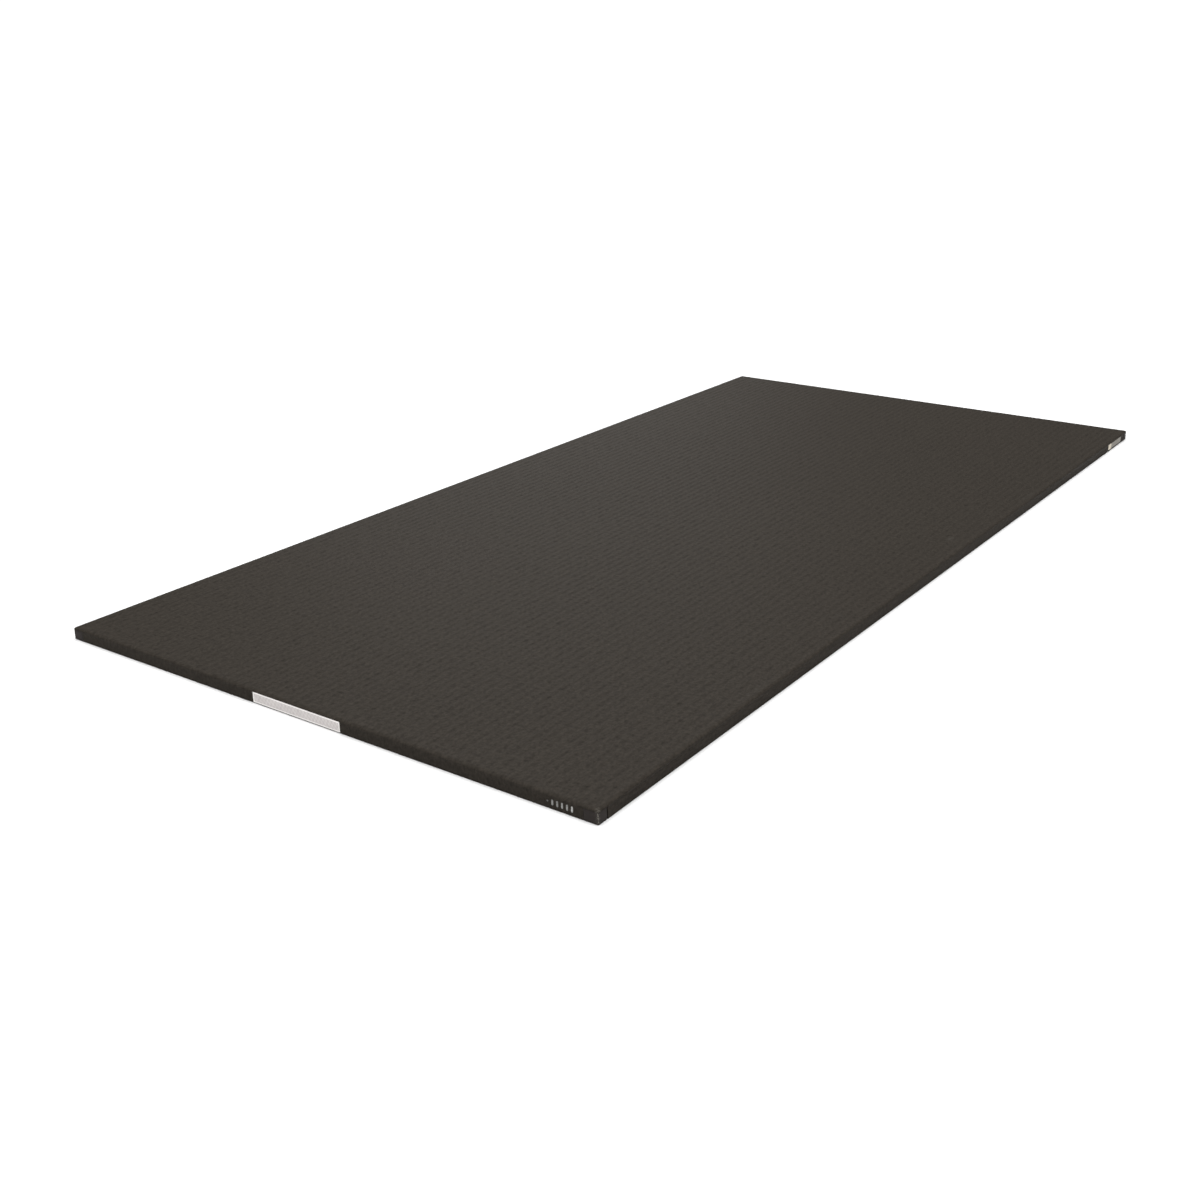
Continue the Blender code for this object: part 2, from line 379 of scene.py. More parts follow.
def linesAcross(sizes):
    inner = halfWidth - sizes["rimWidth"]
    cut = halfWidth - patchAlongWidth - sizes["patchGaps"][1]
    fixed = [-inner, -cut, cut, inner]
    rows = math.ceil(inner / rowPitch) + 1
    places = [(row + share) * rowPitch for row in range(-rows, rows) for share in sizes["rowCuts"]]
    clear = sizes["closestLines"]
    free = [y for y in places if abs(y) < inner and min(abs(y - line) for line in fixed) > clear]
    return sorted(fixed + free), cut


def arcStations(reachIn, reachUp, middleHeight, first, last, steps):
    # points of an edge rounding: inset from the side and height
    angles = [math.radians(first + (last - first) * i / steps) for i in range(steps + 1)]
    return [(reachIn * (1 - math.cos(a)), middleHeight + reachUp * math.sin(a)) for a in angles]


def coverStations(sizes, wallInset):
    # outer and inner profile of the wrap, each as (inset, height), split where the corner patches begin
    thick = sizes["thickness"]
    rollIn, rollDown, low = sizes["topRollIn"], sizes["topRollDown"], sizes["bottomRadius"]
    cutHeight = patchTop + sizes["patchTopGap"]
    above = arcStations(rollIn, rollDown, matTop - rollDown, 90, 0, sizes["arcSteps"])
    above += [(0.0, cutHeight)]
    below = [(0.0, height * mm) for height in sizes["sideHeights"]]
    below += arcStations(low, low, low, 0, -90, 3)
    below += [(wallInset / 2, 0.0), (wallInset, 0.0), (sizes["hemWidth"], 0.0)]
    insideAbove = [(rollIn, matTop - thick), (thick + 1.1 * mm, matTop - 1.7 * thick), (thick, cutHeight)]
    insideBelow = [(thick, 2 * thick), (2 * thick, thick), (wallInset, thick), (sizes["hemWidth"], thick)]
    return above, below, insideAbove, insideBelow


def depthAt(profile, height):
    # reads a list of (height, depth) from the top downwards
    height /= mm
    if height >= profile[0][0]:
        return profile[0][1] * mm
    for (upper, upperDepth), (lower, lowerDepth) in zip(profile, profile[1:]):
        if height >= lower:
            share = (upper - height) / (upper - lower)
            share = share * share * (3 - 2 * share)
            return (upperDepth + (lowerDepth - upperDepth) * share) * mm
    return 0.0


def setBack(along, height, sizes):
    # how far a long side stands back: front end, middle and back end run into each other
    if height >= matTop - 0.1 * mm:
        return 0.0
    front = min(max((-0.45 - along) / 0.35, 0.0), 1.0)
    back = min(max((along - 0.20) / 0.40, 0.0), 1.0)
    shapes = (("longSideFront", front), ("longSideMiddle", 1 - front - back), ("longSideBack", back))
    depth = sum(depthAt(sizes[name], height) * share for name, share in shapes)
    return depth * min(1.0, (matTop - height) / (2.8 * mm))


def sideWave(along, waves):
    return mm * sum(depth * (0.5 + 0.5 * math.sin(2 * math.pi * along / length + start))
                    for length, depth, start in waves) / 2


def makeCoverShell(sizes):
    xLines, xCut = linesAlong(sizes)
    yLines, yCut = linesAcross(sizes)
    nx, ny = len(xLines) - 1, len(yLines) - 1
    rim = sizes["rimWidth"]
    points, faces, onSheet, emboss, wears = [], [], [], [], []

    def addPoint(place, sheet, share, wear=0.0):
        points.append(place)
        onSheet.append(sheet)
        emboss.append(share)
        wears.append(wear)
        return len(points) - 1

    # flat top, cut along every row
    faintest = sizes["longSideEmboss"]
    shares = [min(1.0, faintest + max(0.0, halfWidth - rim - abs(y)) / sizes["rowFading"]) for y in yLines]
    grid = []
    for x in xLines:
        grid.append([addPoint((x, y, matTop), (x, y, 0), share) for y, share in zip(yLines, shares)])
    for i in range(nx):
        for j in range(ny):
            faces.append((grid[i][j], grid[i + 1][j], grid[i + 1][j + 1], grid[i][j + 1]))

    # the four sides, anticlockwise: (start point, direction out, place along, first point, corner signs)
    def sideEntries(side):
        if side == 0:
            return [((x, yLines[0]), (0, -1), x, grid[i][0], None) for i, x in enumerate(xLines)]
        if side == 1:
            return [((xLines[-1], y), (1, 0), y, grid[nx][j], None) for j, y in enumerate(yLines)]
        if side == 2:
            entries = [((x, yLines[-1]), (0, 1), x, grid[i][ny], None) for i, x in enumerate(xLines)]
        else:
            entries = [((xLines[0], y), (-1, 0), y, grid[0][j], None) for j, y in enumerate(yLines)]
        return entries[::-1]

    def placeOf(entry, inset, height, sheetLength, leaning=True):
        (x, y), (outX, outY), _, _, corner = entry
        back = setBack(x, height, sizes) if leaning else 0.0
        sheet = (x + outX * sheetLength, y + outY * sheetLength, 0)
        if corner is None:
            out = rim - inset - back * abs(outY)
            return (x + outX * out, y + outY * out, height), sheet
        # round the upright corner, tighter towards the top
        turn = min(sizes["cornerRadius"], 0.6 * (rim - inset))
        straight = rim - inset - turn
        return (x + corner[0] * straight + outX * turn, y + corner[1] * (straight - back) + outY * turn,
                height), sheet

    def bandFaces(upper, lower, closed, inside=False):
        count = len(upper)
        for i in range(count if closed else count - 1):
            k = (i + 1) % count
            corners = [upper[i], lower[i], lower[k], upper[k]]
            if corners[0] == corners[3]:
                corners.pop()
            faces.append(tuple(reversed(corners)) if inside else tuple(corners))

    loop, spans = [], []
    for side in range(4):
        entries = sideEntries(side)
        cut = xCut if side % 2 == 0 else yCut
        start = len(loop)
        kept = [start + i for i, e in enumerate(entries) if abs(e[2]) <= cut + 1e-6]
        spans.append((kept[0], kept[-1]))
        loop += entries
        corner, out = entries[-1], entries[-1][1]
        signs = (out[0] - out[1], out[0] + out[1])
        for step in range(sizes["cornerSteps"] + 1):  # fan round the upright corner
            turn = math.radians(90 * step / sizes["cornerSteps"])
            direction = (out[0] * math.cos(turn) - out[1] * math.sin(turn),
                         out[0] * math.sin(turn) + out[1] * math.cos(turn))
            loop.append((corner[0], direction, corner[2], corner[3], signs))

    def lengthsOf(stations, start):
        lengths, previous = [], start
        total = 0.0
        for station in stations:
            total += math.dist(previous, station)
            previous = station
            lengths.append(total)
        return lengths

    allSides = [coverStations(sizes, patchAlongWidth + sizes["patchGaps"][1]),
                coverStations(sizes, patchAlongLength + sizes["patchGaps"][0])]
    above, _, insideAbove, _ = allSides[0]
    topStart = (rim, matTop)

    # over the top edge, all the way round; the rows fade where they run along a long side
    lengths = lengthsOf(above, topStart)
    previous = [entry[3] for entry in loop]
    for station, ((inset, height), length) in enumerate(zip(above, lengths)):
        share = 1.0 + (sizes["sideEmboss"] - 1.0) * station / (len(above) - 1)
        wornBy = min(0.7, station / 4)
        ring = []
        for entry in loop:
            onLongSide = abs(entry[1][1])
            kept = share * (1 - onLongSide) + faintest * onLongSide
            ring.append(addPoint(*placeOf(entry, inset, height, length), kept, wornBy if entry[4] else 0.0))
        bandFaces(previous, ring, True)
        previous = ring
    outerCut, sideStart = previous, lengths[-1]
    inner = []
    for inset, height in insideAbove:
        inner.append([addPoint(*placeOf(entry, inset, height, inset, False), 0.0) for entry in loop])
    faces.append(tuple(reversed(inner[0])))
    bandFaces(inner[0], inner[1], True, inside=True)
    bandFaces(inner[1], inner[2], True, inside=True)
    innerCut = inner[2]

    # underside of the sheet over each corner patch
    for side in range(4):
        first, last = spans[side][1], spans[(side + 1) % 4][0]
        if last <= first:
            last += len(loop)
        arc = [i % len(loop) for i in range(first, last + 1)]
        bandFaces([outerCut[i] for i in arc], [innerCut[i] for i in arc], False)

    # down each side and under, between the corner patches
    for side in range(4):
        first, last = spans[side]
        entries = loop[first:last + 1]
        cut = xCut if side % 2 == 0 else yCut
        free = (halfLength if side % 2 == 0 else halfWidth) - sizes["hemWidth"] - 0.3 * mm
        _, below, _, insideBelow = allSides[side % 2]
        heightCount = len(sizes["sideHeights"])

        def strip(stations, lengths, shareOf, waved):
            rings = []
            for number, ((inset, height), length) in enumerate(zip(stations, lengths)):
                atFreeEdge = number == len(stations) - 1
                ring = []
                for entry in entries:
                    (x, y), out, along, gridPoint, _ = entry
                    if atFreeEdge:  # mitred towards the opening under the mat
                        shrunk = along * free / cut
                        x, y = (shrunk, y) if side % 2 == 0 else (x, shrunk)
                    wave = 0.0
                    if waved and number < heightCount:
                        wave = sideWave(along + 3 * side, sizes["sideWaves"])
                        wave *= math.sin(math.pi * min(1, height / (patchTop + mm)))
                        if side % 2:
                            wave += depthAt(sizes["endSide"], height)
                    moved = ((x, y), out, along, gridPoint, None)
                    leaning = waved and height > 0.5 * mm
                    placed = placeOf(moved, inset + wave, height, length, leaning)
                    ring.append(addPoint(*placed, shareOf(number)))
                rings.append(ring)
            return rings

        def embossShare(number):
            return sizes["sideEmboss"] if number < heightCount else sizes["hemEmboss"]

        lengths = [sideStart + more for more in lengthsOf(below, above[-1])]
        outer = [outerCut[first:last + 1]] + strip(below, lengths, embossShare, True)
        inside = [innerCut[first:last + 1]] + strip(insideBelow, lengths[-4:], lambda number: 0.0, False)
        for rings, isInside in ((outer, False), (inside, True)):
            for upper, lower in zip(rings, rings[1:]):
                bandFaces(upper, lower, False, isInside)
        bandFaces(outer[-1], inside[-1], False)
        for end in (0, -1):  # the cut ends beside the patches, then the mitres
            wall = [ring[end] for ring in outer[:-1]] + [ring[end] for ring in reversed(inside[:-1])]
            mitre = [outer[-2][end], outer[-1][end], inside[-1][end], inside[-2][end]]
            for rimFace in (wall, mitre):
                faces.append(tuple(reversed(rimFace)) if end == 0 else tuple(rimFace))

    shell = newPiece("tatamiCover", points, faces)
    keepValue(shell, "sheetPlace", "FLOAT_VECTOR", onSheet)
    keepValue(shell, "embossShare", "FLOAT", emboss)
    keepValue(shell, "edgeWear", "FLOAT", wears)
    return shell


def makeEmbossTree(finish):
    # presses the straw rows into the sheet: grooves broken into dashes, with uneven crests between
    tree, sizes, groupEnd = newGeometryTree("strawEmboss", embossSizes)

    def kept(name, kind):
        return addNode(tree, "GeometryNodeInputNamedAttribute", {"Name": name}, data_type=kind).outputs[0]

    share = kept("embossShare", "FLOAT")
    onSheet = kept("sheetPlace", "FLOAT_VECTOR")
    along, across, _ = addNode(tree, "ShaderNodeSeparateXYZ", {0: onSheet}).outputs
    inRows = calculate(tree, "DIVIDE", across, sizes["Row Pitch"])
    row = calculate(tree, "ROUND", inRows)
    swayAlong = calculate(tree, "DIVIDE", along, sizes["Sway Length"])
    swayRow = calculate(tree, "MULTIPLY", row, 5.3)
    swayInputs = {0: swayAlong, 1: swayRow, 2: sizes["Seed"]}
    swayPlace = addNode(tree, "ShaderNodeCombineXYZ", swayInputs).outputs[0]
    sway = calculate(tree, "SUBTRACT", cloud(tree, swayPlace, 1.0, 2.0, 0.6), 0.5)
    turn = calculate(tree, "SUBTRACT", inRows, row)
    turn = calculate(tree, "MULTIPLY_ADD", sway, sizes["Sway"], turn)
    turn = calculate(tree, "MULTIPLY", turn, 2 * math.pi)
    groove = calculate(tree, "MULTIPLY_ADD", calculate(tree, "COSINE", turn), 0.5, 0.5)
    groove = calculate(tree, "POWER", groove, sizes["Groove Sharpness"])
    # each groove has dashes of its own
    dashPlace = calculate(tree, "DIVIDE", along, sizes["Dash Length"])
    dashPlace = calculate(tree, "MULTIPLY_ADD", row, 17.31, dashPlace)
    dashVector = addNode(tree, "ShaderNodeCombineXYZ", {0: dashPlace, 1: sizes["Seed"]}).outputs[0]
    dash = remap(tree, cloud(tree, dashVector, 1.0, 1.0), 0.36, 0.62, sizes["Shallowest Dash"], 1.0)
    groove = calculate(tree, "MULTIPLY", groove, dash)
    crestPlace = calculate(tree, "MULTIPLY", dashPlace, 1.9)
    crestInputs = {0: crestPlace, 1: inRows, 2: sizes["Seed"]}
    crestVector = addNode(tree, "ShaderNodeCombineXYZ", crestInputs).outputs[0]
    crest = calculate(tree, "MULTIPLY", cloud(tree, crestVector, 1.0, 1.0), sizes["Crest Unevenness"])
    depth = calculate(tree, "MULTIPLY_ADD", groove, sizes["Groove Depth"], crest)
    depth = calculate(tree, "MULTIPLY", depth, calculate(tree, "MULTIPLY", share, -1.0))
    normal = addNode(tree, "GeometryNodeInputNormal").outputs[0]
    offset = addNode(tree, "ShaderNodeVectorMath", {0: normal}, operation="SCALE")
    tree.links.new(depth, offset.inputs["Scale"])
    pressed = addNode(tree, "GeometryNodeSetPosition",
                      {"Geometry": sizes["Geometry"], "Offset": offset.outputs[0]})
    # how deep each groove is pressed, kept as the mask for the painted groove shade in the finish
    shade = calculate(tree, "MULTIPLY", groove, share)
    stored = addNode(tree, "GeometryNodeStoreNamedAttribute",
                     {"Geometry": pressed.outputs[0], "Name": "paintedGrooveShade", "Value": shade})
    finishGeometryTree(tree, stored.outputs[0], finish, groupEnd)
    return tree


tatamiCover = makeCoverShell(coverSizes)
runGeometryTree(tatamiCover, makeEmbossTree(coverVinyl), embossSizes)
smoothPiece(tatamiCover, 50)
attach(tatamiCover, "root")
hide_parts("tatami_cover")
print("cover embossed:", len(tatamiCover.data.polygons), "faces")


# Corner patches: vinyl pieces that close the cut corners of the cover

patchLook = {
    "tone": (0.0287, 0.0241, 0.0222),
    "paleTone": (0.0325, 0.0275, 0.0252),
    "wornTone": (0.26, 0.245, 0.215),
    "roughness": 0.50,
    "specular": 0.05,
    "grainHeight": 0.04 * mm,
}

patchSizes = {
    "thickness": 1.2 * mm,
    "cornerRadius": 1.8 * mm,
    "bottomRadius": 0.9 * mm,
    "lipRadius": 0.3 * mm,
    "cornerSteps": 10,
    "legSteps": 5,
    "tongue": 3.0 * mm,  # how far the backing reaches under the cover
    "tongueThickness": 0.2 * mm,
    "tongueRise": 1.6 * mm,
    "bulge": 0.12 * mm,  # how far the middle of a leg stands out from its ends
}


def makePatchVinyl(look):
    finish, tree, shader = newFinish("patchVinyl", look["tone"], look["roughness"], look["specular"])
    place = objectPlace(tree)
    blotches = cloud(tree, place, 120, 3.0, 0.6)
    tone = remap(tree, blotches, 0.35, 0.65, 0, 1)
    color = mixColors(tree, tone, (*look["tone"], 1), (*look["paleTone"], 1))
    worn = wornSpecks(tree, place, attributeOf(tree, "edgeWear"))
    color = mixColors(tree, worn, color, (*look["wornTone"], 1))
    tree.links.new(color, shader.inputs["Base Color"])
    gloss = calculate(tree, "MULTIPLY_ADD", blotches, 0.16, look["roughness"] - 0.08)
    tree.links.new(calculate(tree, "MULTIPLY_ADD", worn, 0.3, gloss), shader.inputs["Roughness"])
    bumpInto(tree, shader, cloud(tree, place, 1100, 3.0), look["grainHeight"])
    return finish


def makeGapShadowPaint():
    # painted shadow: a near-black finish in the open line beside a patch, standing in for the shade in the
    # gap
    finish, tree, shader = newFinish("gapShadowPaint", (0.006, 0.0055, 0.005), 0.8, 0.1)
    shadowPaintNoise = cloud(tree, objectPlace(tree), 300, 2.0)
    color = mixColors(tree, shadowPaintNoise, (0.004, 0.004, 0.0035, 1), (0.011, 0.010, 0.009, 1))
    tree.links.new(color, shader.inputs["Base Color"])
    bumpInto(tree, shader, shadowPaintNoise, 0.05 * mm)
    return finish


patchVinyl = makePatchVinyl(patchLook)
gapShadowPaint = makeGapShadowPaint()


def wayRound(legX, legY, radius, sizes):
    # the way round a corner, from the end on the long side to the end on the short side;
    # each entry: distances from the two outer faces, direction in, share of the leg from its end, wear
    way = []
    for step in range(sizes["legSteps"]):
        share = step / sizes["legSteps"]
        way.append((legX + (radius - legX) * share, 0.0, (0, 1), share, 0.0))
    for step in range(sizes["cornerSteps"] + 1):
        turn = math.radians(90 * step / sizes["cornerSteps"])
        wear = math.sin(2 * turn) ** 0.5 if 0 < step < sizes["cornerSteps"] else 0.45
        way.append((radius - radius * math.sin(turn), radius - radius * math.cos(turn),
                    (math.sin(turn), math.cos(turn)), 1.0, wear))
    for step in range(1, sizes["legSteps"] + 1):
        share = step / sizes["legSteps"]
        way.append((0.0, radius + (legY - radius) * share, (1, 0), 1 - share, 0.0))
    return way


def makePatch(node, name, sizes):
    low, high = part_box(node)
    sideX = 1 if high.x > 0 else -1
    sideY = 1 if high.y > 0 else -1
    legX, legY = high.x - low.x, high.y - low.y
    radius, thick, bottom = sizes["cornerRadius"], sizes["thickness"], sizes["bottomRadius"]
    way = wayRound(legX, legY, radius, sizes)
    heights = [patchTop, 0.8 * patchTop, 0.6 * patchTop, 0.4 * patchTop, 0.2 * patchTop, bottom]
    outerStations = [(0.0, h) for h in heights] + [(bottom * 0.293, bottom * 0.293), (bottom, 0.0)]
    innerStations = [(thick, patchTop), (thick, thick)]
    points, wears, faces = [], [], []

    def addPoint(fromX, fromY, height, wear=0.0):
        # the patch stands back with the long side that it sits on
        back = setBack(sideX * (halfLength - fromX), height, coverSizes) if height > 0.5 * mm else 0.0
        fromY += back * max(0.0, 1 - fromY / (4 * mm))
        points.append((sideX * (halfLength - fromX), sideY * (halfWidth - fromY), height))
        wears.append(wear)
        return len(points) - 1

    def ringOf(inset, height, bulged):
        ring = []
        for fromX, fromY, (inX, inY), share, wear in way:
            swell = sizes["bulge"] * math.sin(math.pi * min(share, 1.0)) * bulged
            step = inset - swell
            ring.append(addPoint(fromX + inX * step, fromY + inY * step, height, wear))
        return ring

    outer = []
    for inset, height in outerStations:
        outer.append(ringOf(inset, height, 1.0 if bottom < height < patchTop else 0.0))
    inner = [ringOf(inset, height, 0.0) for inset, height in innerStations]
    cornerLow, cornerHigh = addPoint(legX, legY, 0.0), addPoint(legX, legY, thick)
    last = len(way) - 1
    for rings in (outer, list(reversed(inner))):
        for upper, lower in zip(rings, rings[1:]):
            for i in range(last):
                faces.append((upper[i], lower[i], lower[i + 1], upper[i + 1]))
    for i in range(last):  # top lip
        faces.append((inner[0][i], outer[0][i], outer[0][i + 1], inner[0][i + 1]))
    faces.append((*reversed(outer[-1]), cornerLow))
    faces.append((*inner[-1], cornerHigh))
    startCap = [ring[0] for ring in outer] + [cornerLow, cornerHigh, inner[1][0], inner[0][0]]
    endCap = [ring[last] for ring in outer] + [cornerLow, cornerHigh, inner[1][last], inner[0][last]]
    faces.append(tuple(reversed(startCap)))
    faces.append(tuple(endCap))
    # a thin backing behind the open line, tucked under the cover, coloured with the near-black painted gap
    # shadow
    tongueWay = wayRound(legX + sizes["tongue"], legY + sizes["tongue"], radius, sizes)
    outside = thick + 0.02 * mm
    inside = outside + sizes["tongueThickness"]
    tongueTop, tongueBottom = patchTop + sizes["tongueRise"], thick + 0.3 * mm
    rings = []
    for inset, height in ((outside, tongueBottom), (outside, tongueTop),
                          (inside, tongueTop), (inside, tongueBottom)):
        ring = []
        for fromX, fromY, (inX, inY), _, _ in tongueWay:
            ring.append(addPoint(fromX + inX * inset, fromY + inY * inset, height))
        rings.append(ring)
    vinylFaces = len(faces)
    for lower, upper in zip(rings, rings[1:] + rings[:1]):
        for i in range(last):
            faces.append((upper[i], lower[i], lower[i + 1], upper[i + 1]))
    faces.append(tuple(ring[0] for ring in rings))
    faces.append(tuple(ring[last] for ring in reversed(rings)))
    if sideX * sideY > 0:
        faces = [tuple(reversed(face)) for face in faces]
    patch = newPiece(name, points, faces, patchVinyl)
    # the backing faces take the near-black painted gap shadow
    patch.data.materials.append(gapShadowPaint)
    for face in patch.data.polygons[vinylFaces:]:
        face.material_index = 1
    keepValue(patch, "edgeWear", "FLOAT", wears)
    rounded = patch.modifiers.new("roundedLip", "BEVEL")
    rounded.width = sizes["lipRadius"]
    rounded.segments = 2
    rounded.limit_method = "ANGLE"
    rounded.angle_limit = math.radians(60)
    keepModifiers(patch)
    smoothPiece(patch, 50)
    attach(patch, "root")
    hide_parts(node)
    return patch


for end in ("front", "back"):
    for side in ("right", "left"):
        makePatch(f"corner_patch_{end}_{side}", "cornerPatch" + end.title() + side.title(), patchSizes)


def paintGapShadowOnCutEnds(cover, sizes):
    # painted shadow: the cut ends of the sheet on the long sides are coloured near-black, for the shade in
    # the open line
    cover.data.materials.append(gapShadowPaint)
    cut = halfLength - patchAlongLength - sizes["patchGaps"][0]
    for face in cover.data.polygons:
        beside = abs(abs(face.center.x) - cut) < 0.3 * mm and abs(face.normal.x) > 0.6
        if beside and abs(face.center.y) > halfWidth - 3 * mm and face.center.z < patchTop + 0.2 * mm:
            face.material_index = 1


paintGapShadowOnCutEnds(tatamiCover, coverSizes)
print("corner patches fitted")


# Labels on the sides

labelLook = {
    "proud": 0.10 * mm,
    "thickness": 0.25 * mm,
    "cornerRadius": 0.8 * mm,
    "ripple": 0.05 * mm,
    "meshStep": 2.4 * mm,
    "meshRows": 7,
    "foilBorder": 2.0 * mm,
    "hatchPitch": 5.6 * mm,
    "finePitch": 2.3 * mm,
    "hatchSlant": 62,  # degrees from the long direction
    "foilTones": ((0.44, 0.405, 0.395), (0.68, 0.645, 0.63)),
    "borderTone": (0.84, 0.81, 0.79),
    "whiteTones": ((0.613, 0.545, 0.430), (0.722, 0.652, 0.517)),
    "greyTones": ((0.113, 0.098, 0.073), (0.166, 0.143, 0.110)),
}


def makeFoil(look):
    finish, tree, shader = newFinish("silverFoil", (0.45, 0.43, 0.42), 0.38, 0.5, 0.25)
    place = objectPlace(tree)
    low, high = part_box("foil_label")
    apart = addNode(tree, "ShaderNodeSeparateXYZ", {0: place}).outputs
    fromEnds = calculate(tree, "MINIMUM", calculate(tree, "SUBTRACT", apart[1], low.y),
                         calculate(tree, "SUBTRACT", high.y, apart[1]))
    fromEdges = calculate(tree, "MINIMUM", calculate(tree, "SUBTRACT", apart[2], low.z),
                          calculate(tree, "SUBTRACT", high.z, apart[2]))
    fromRim = calculate(tree, "MINIMUM", fromEnds, fromEdges)
    border = remap(tree, fromRim, look["foilBorder"] - 0.3 * mm, look["foilBorder"] + 0.3 * mm, 1.0, 0.0)
    # slanted hatch of the film
    slant = math.radians(look["hatchSlant"])
    across = calculate(tree, "MULTIPLY", apart[1], math.sin(slant))
    across = calculate(tree, "MULTIPLY_ADD", apart[2], math.cos(slant), across)
    hatch = calculate(tree, "SINE", calculate(tree, "MULTIPLY", across, 2 * math.pi / look["hatchPitch"]))
    fine = calculate(tree, "SINE", calculate(tree, "MULTIPLY", across, 2 * math.pi / look["finePitch"]))
    clouds = cloud(tree, place, 140, 3.0, 0.6)
    tone = calculate(tree, "MULTIPLY_ADD", hatch, 0.10, 0.05)
    tone = calculate(tree, "MULTIPLY_ADD", fine, 0.35, tone)
    tone = calculate(tree, "ADD", tone, clouds, limited=True)
    darker, paler = look["foilTones"]
    color = mixColors(tree, tone, (*darker, 1), (*paler, 1))
    color = mixColors(tree, border, color, (*look["borderTone"], 1))
    tree.links.new(color, shader.inputs["Base Color"])
    tree.links.new(calculate(tree, "MULTIPLY_ADD", clouds, 0.2, 0.28), shader.inputs["Roughness"])
    bumpInto(tree, shader, calculate(tree, "MULTIPLY_ADD", hatch, 0.5, clouds), 0.03 * mm)
    return finish


def makeFilm(name, tones, roughness):
    darker, paler = tones
    finish, tree, shader = newFinish(name, paler, roughness)
    place = objectPlace(tree)
    smudges = cloud(tree, place, 150, 3.0, 0.6)
    mixed = mixColors(tree, remap(tree, smudges, 0.3, 0.7, 0, 1), (*darker, 1), (*paler, 1))
    tree.links.new(mixed, shader.inputs["Base Color"])
    gloss = calculate(tree, "MULTIPLY_ADD", smudges, 0.2, roughness - 0.1)
    tree.links.new(gloss, shader.inputs["Roughness"])
    bumpInto(tree, shader, cloud(tree, place, 420, 2.0), 0.02 * mm)
    return finish


def makeLabel(node, name, finish, look):
    # a film glued to an upright side, so it follows the rows a little and has rounded corners
    low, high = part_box(node)
    onEnd = high.x - low.x < high.y - low.y
    start, end = (low.y, high.y) if onEnd else (low.x, high.x)
    bottom, top = low.z, high.z
    face = low.x if onEnd else low.y
    columns = max(8, round((end - start) / look["meshStep"]))
    rows = look["meshRows"]
    points, faces = [], []
    radius = look["cornerRadius"]

    def squeezed(along, up):
        # rounds the corners of the outline
        fromEnd = min(along - start, end - along)
        fromEdge = min(up - bottom, top - up)
        if fromEnd < radius and fromEdge < radius:
            a, b = radius - fromEnd, radius - fromEdge
            longest = math.hypot(a, b)
            if longest > radius:
                shrink = radius / longest
                a, b = a * shrink, b * shrink
                along = (start + radius - a) if along - start < end - along else (end - radius + a)
                up = (bottom + radius - b) if up - bottom < top - up else (top - radius + b)
        return along, up

    def cuts(first, last, count):
        inner = [first + (last - first) * i / count for i in range(count + 1)]
        return sorted(set(inner + [first + radius / 2, first + radius, last - radius / 2, last - radius]))

    alongs, ups = cuts(start, end, columns), cuts(bottom, top, rows)
    for back in (0, 1):
        for along in alongs:
            for up in ups:
                a, u = squeezed(along, up)
                wave = look["ripple"] * (0.5 + 0.5 * math.cos(2 * math.pi * a / rowPitch))
                wave *= math.sin(math.pi * (u - bottom) / (top - bottom))
                out = -look["proud"] + wave * (1 - back) + back * look["thickness"]
                points.append((face + out, a, u) if onEnd else (a, face + out, u))
    nu, na = len(ups), len(alongs)
    layer = nu * na
    for i in range(na - 1):
        for j in range(nu - 1):
            a, b, c, d = i * nu + j, (i + 1) * nu + j, (i + 1) * nu + j + 1, i * nu + j + 1
            front = (a, b, c, d)
            rear = tuple(layer + k for k in reversed(front))
            faces += [front, rear]
    rim = [i * nu for i in range(na)] + [(na - 1) * nu + j for j in range(1, nu)]
    rim += [i * nu + nu - 1 for i in range(na - 2, -1, -1)] + [j for j in range(nu - 2, 0, -1)]
    for k, point in enumerate(rim):
        after = rim[(k + 1) % len(rim)]
        faces.append((after, point, layer + point, layer + after))
    if onEnd:
        faces = [tuple(reversed(f)) for f in faces]
    label = newPiece(name, points, faces, finish)
    smoothPiece(label, 50)
    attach(label, "root")
    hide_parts(node)
    return label


silverFoil = makeFoil(labelLook)
whiteFilm = makeFilm("whiteFilm", labelLook["whiteTones"], 0.45)
greyFilm = makeFilm("greyFilm", labelLook["greyTones"], 0.40)
makeLabel("foil_label", "foilLabel", silverFoil, labelLook)
makeLabel("side_label_white", "sideLabelWhite", whiteFilm, labelLook)
makeLabel("side_label_grey", "sideLabelGrey", greyFilm, labelLook)
print("labels stuck on")


# Six plain marks stamped on the end

markSizes = {
    # of each mark: place across the end, share of ink left, lower and upper end in mm
    "places": (-0.4240, -0.4314, -0.4388, -0.4462, -0.4536, -0.4610),
    "inkLeft": (0.22, 0.55, 0.42, 0.62, 0.55, 0.95),
    "bottoms": (8.6, 5.6, 5.4, 5.4, 5.4, 5.2),
    "tops": (10.8, 13.2, 13.4, 13.4, 13.2, 13.4),
    "width": 2.8 * mm,
    "proud": 0.06 * mm,
    "thickness": 0.3 * mm,
    "wornTone": (0.032, 0.029, 0.026),
    "inkTone": (0.62, 0.62, 0.60),
}


def makeMarkInk(look):
    finish, tree, shader = newFinish("markInk", (0.45, 0.44, 0.42), 0.6)
    place = objectPlace(tree)
    left = attributeOf(tree, "inkLeft")
    worn = remap(tree, cloud(tree, place, 650, 3.0, 0.6), 0.35, 0.65, 0.3, 1.0)
    left = calculate(tree, "MULTIPLY", left, worn)
    color = mixColors(tree, left, (*look["wornTone"], 1), (*look["inkTone"], 1))
    tree.links.new(color, shader.inputs["Base Color"])
    bumpInto(tree, shader, cloud(tree, place, 1200, 2.0), 0.02 * mm)
    return finish


